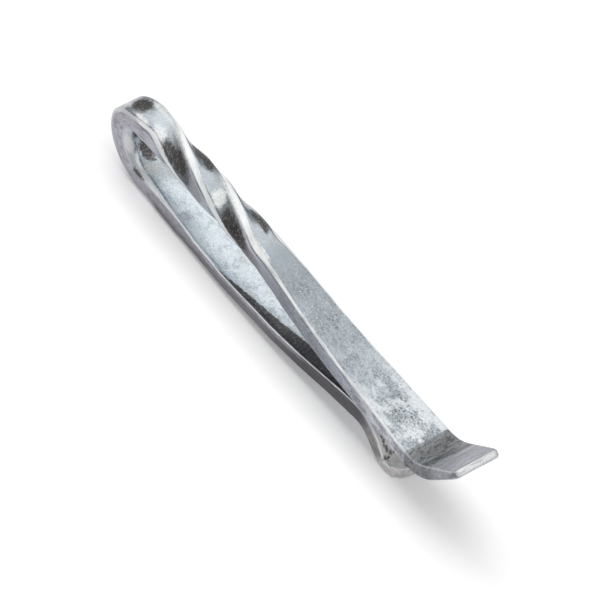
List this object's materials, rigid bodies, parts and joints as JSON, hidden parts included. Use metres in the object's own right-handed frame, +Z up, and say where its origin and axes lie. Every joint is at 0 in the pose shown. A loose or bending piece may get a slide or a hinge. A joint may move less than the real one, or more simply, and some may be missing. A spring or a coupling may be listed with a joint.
{
  "type": "tie bar",
  "caption": "Forged tie bar: one square bar folded into a spring hairpin with a twisted shank, a flattened front blade with an upturned lip, and a back leg that pinches the cloth.",
  "frame": {"origin": "on the table under the middle of the tie bar's box", "axes": "+X from the spring loop to the upturned lip, +Z up off the table, +Y across the bar"},
  "size_m": [0.0598, 0.0052, 0.0123],
  "materials": {
    "forged_aluminium": "planished and brushed bright, with soft worn edges and a little grey in the hollows"
  },
  "bodies": {
    "back": {"spring_loop_lower": "forged_aluminium", "back_leg": "forged_aluminium", "pinch_foot": "forged_aluminium"},
    "front": {"spring_loop_upper": "forged_aluminium", "twisted_shank": "forged_aluminium", "front_blade": "forged_aluminium", "upturned_lip": "forged_aluminium"}
  },
  "joints": [
    {"name": "spring_bend", "type": "hinge", "parent": "back", "child": "front", "pos_m": [-0.02988, 0, 0.0052], "axis": [0, -1, 0], "range_deg": [0, 4], "stiffness_Nm_per_rad": 0.06, "springref_deg": -1.15}
  ]
}
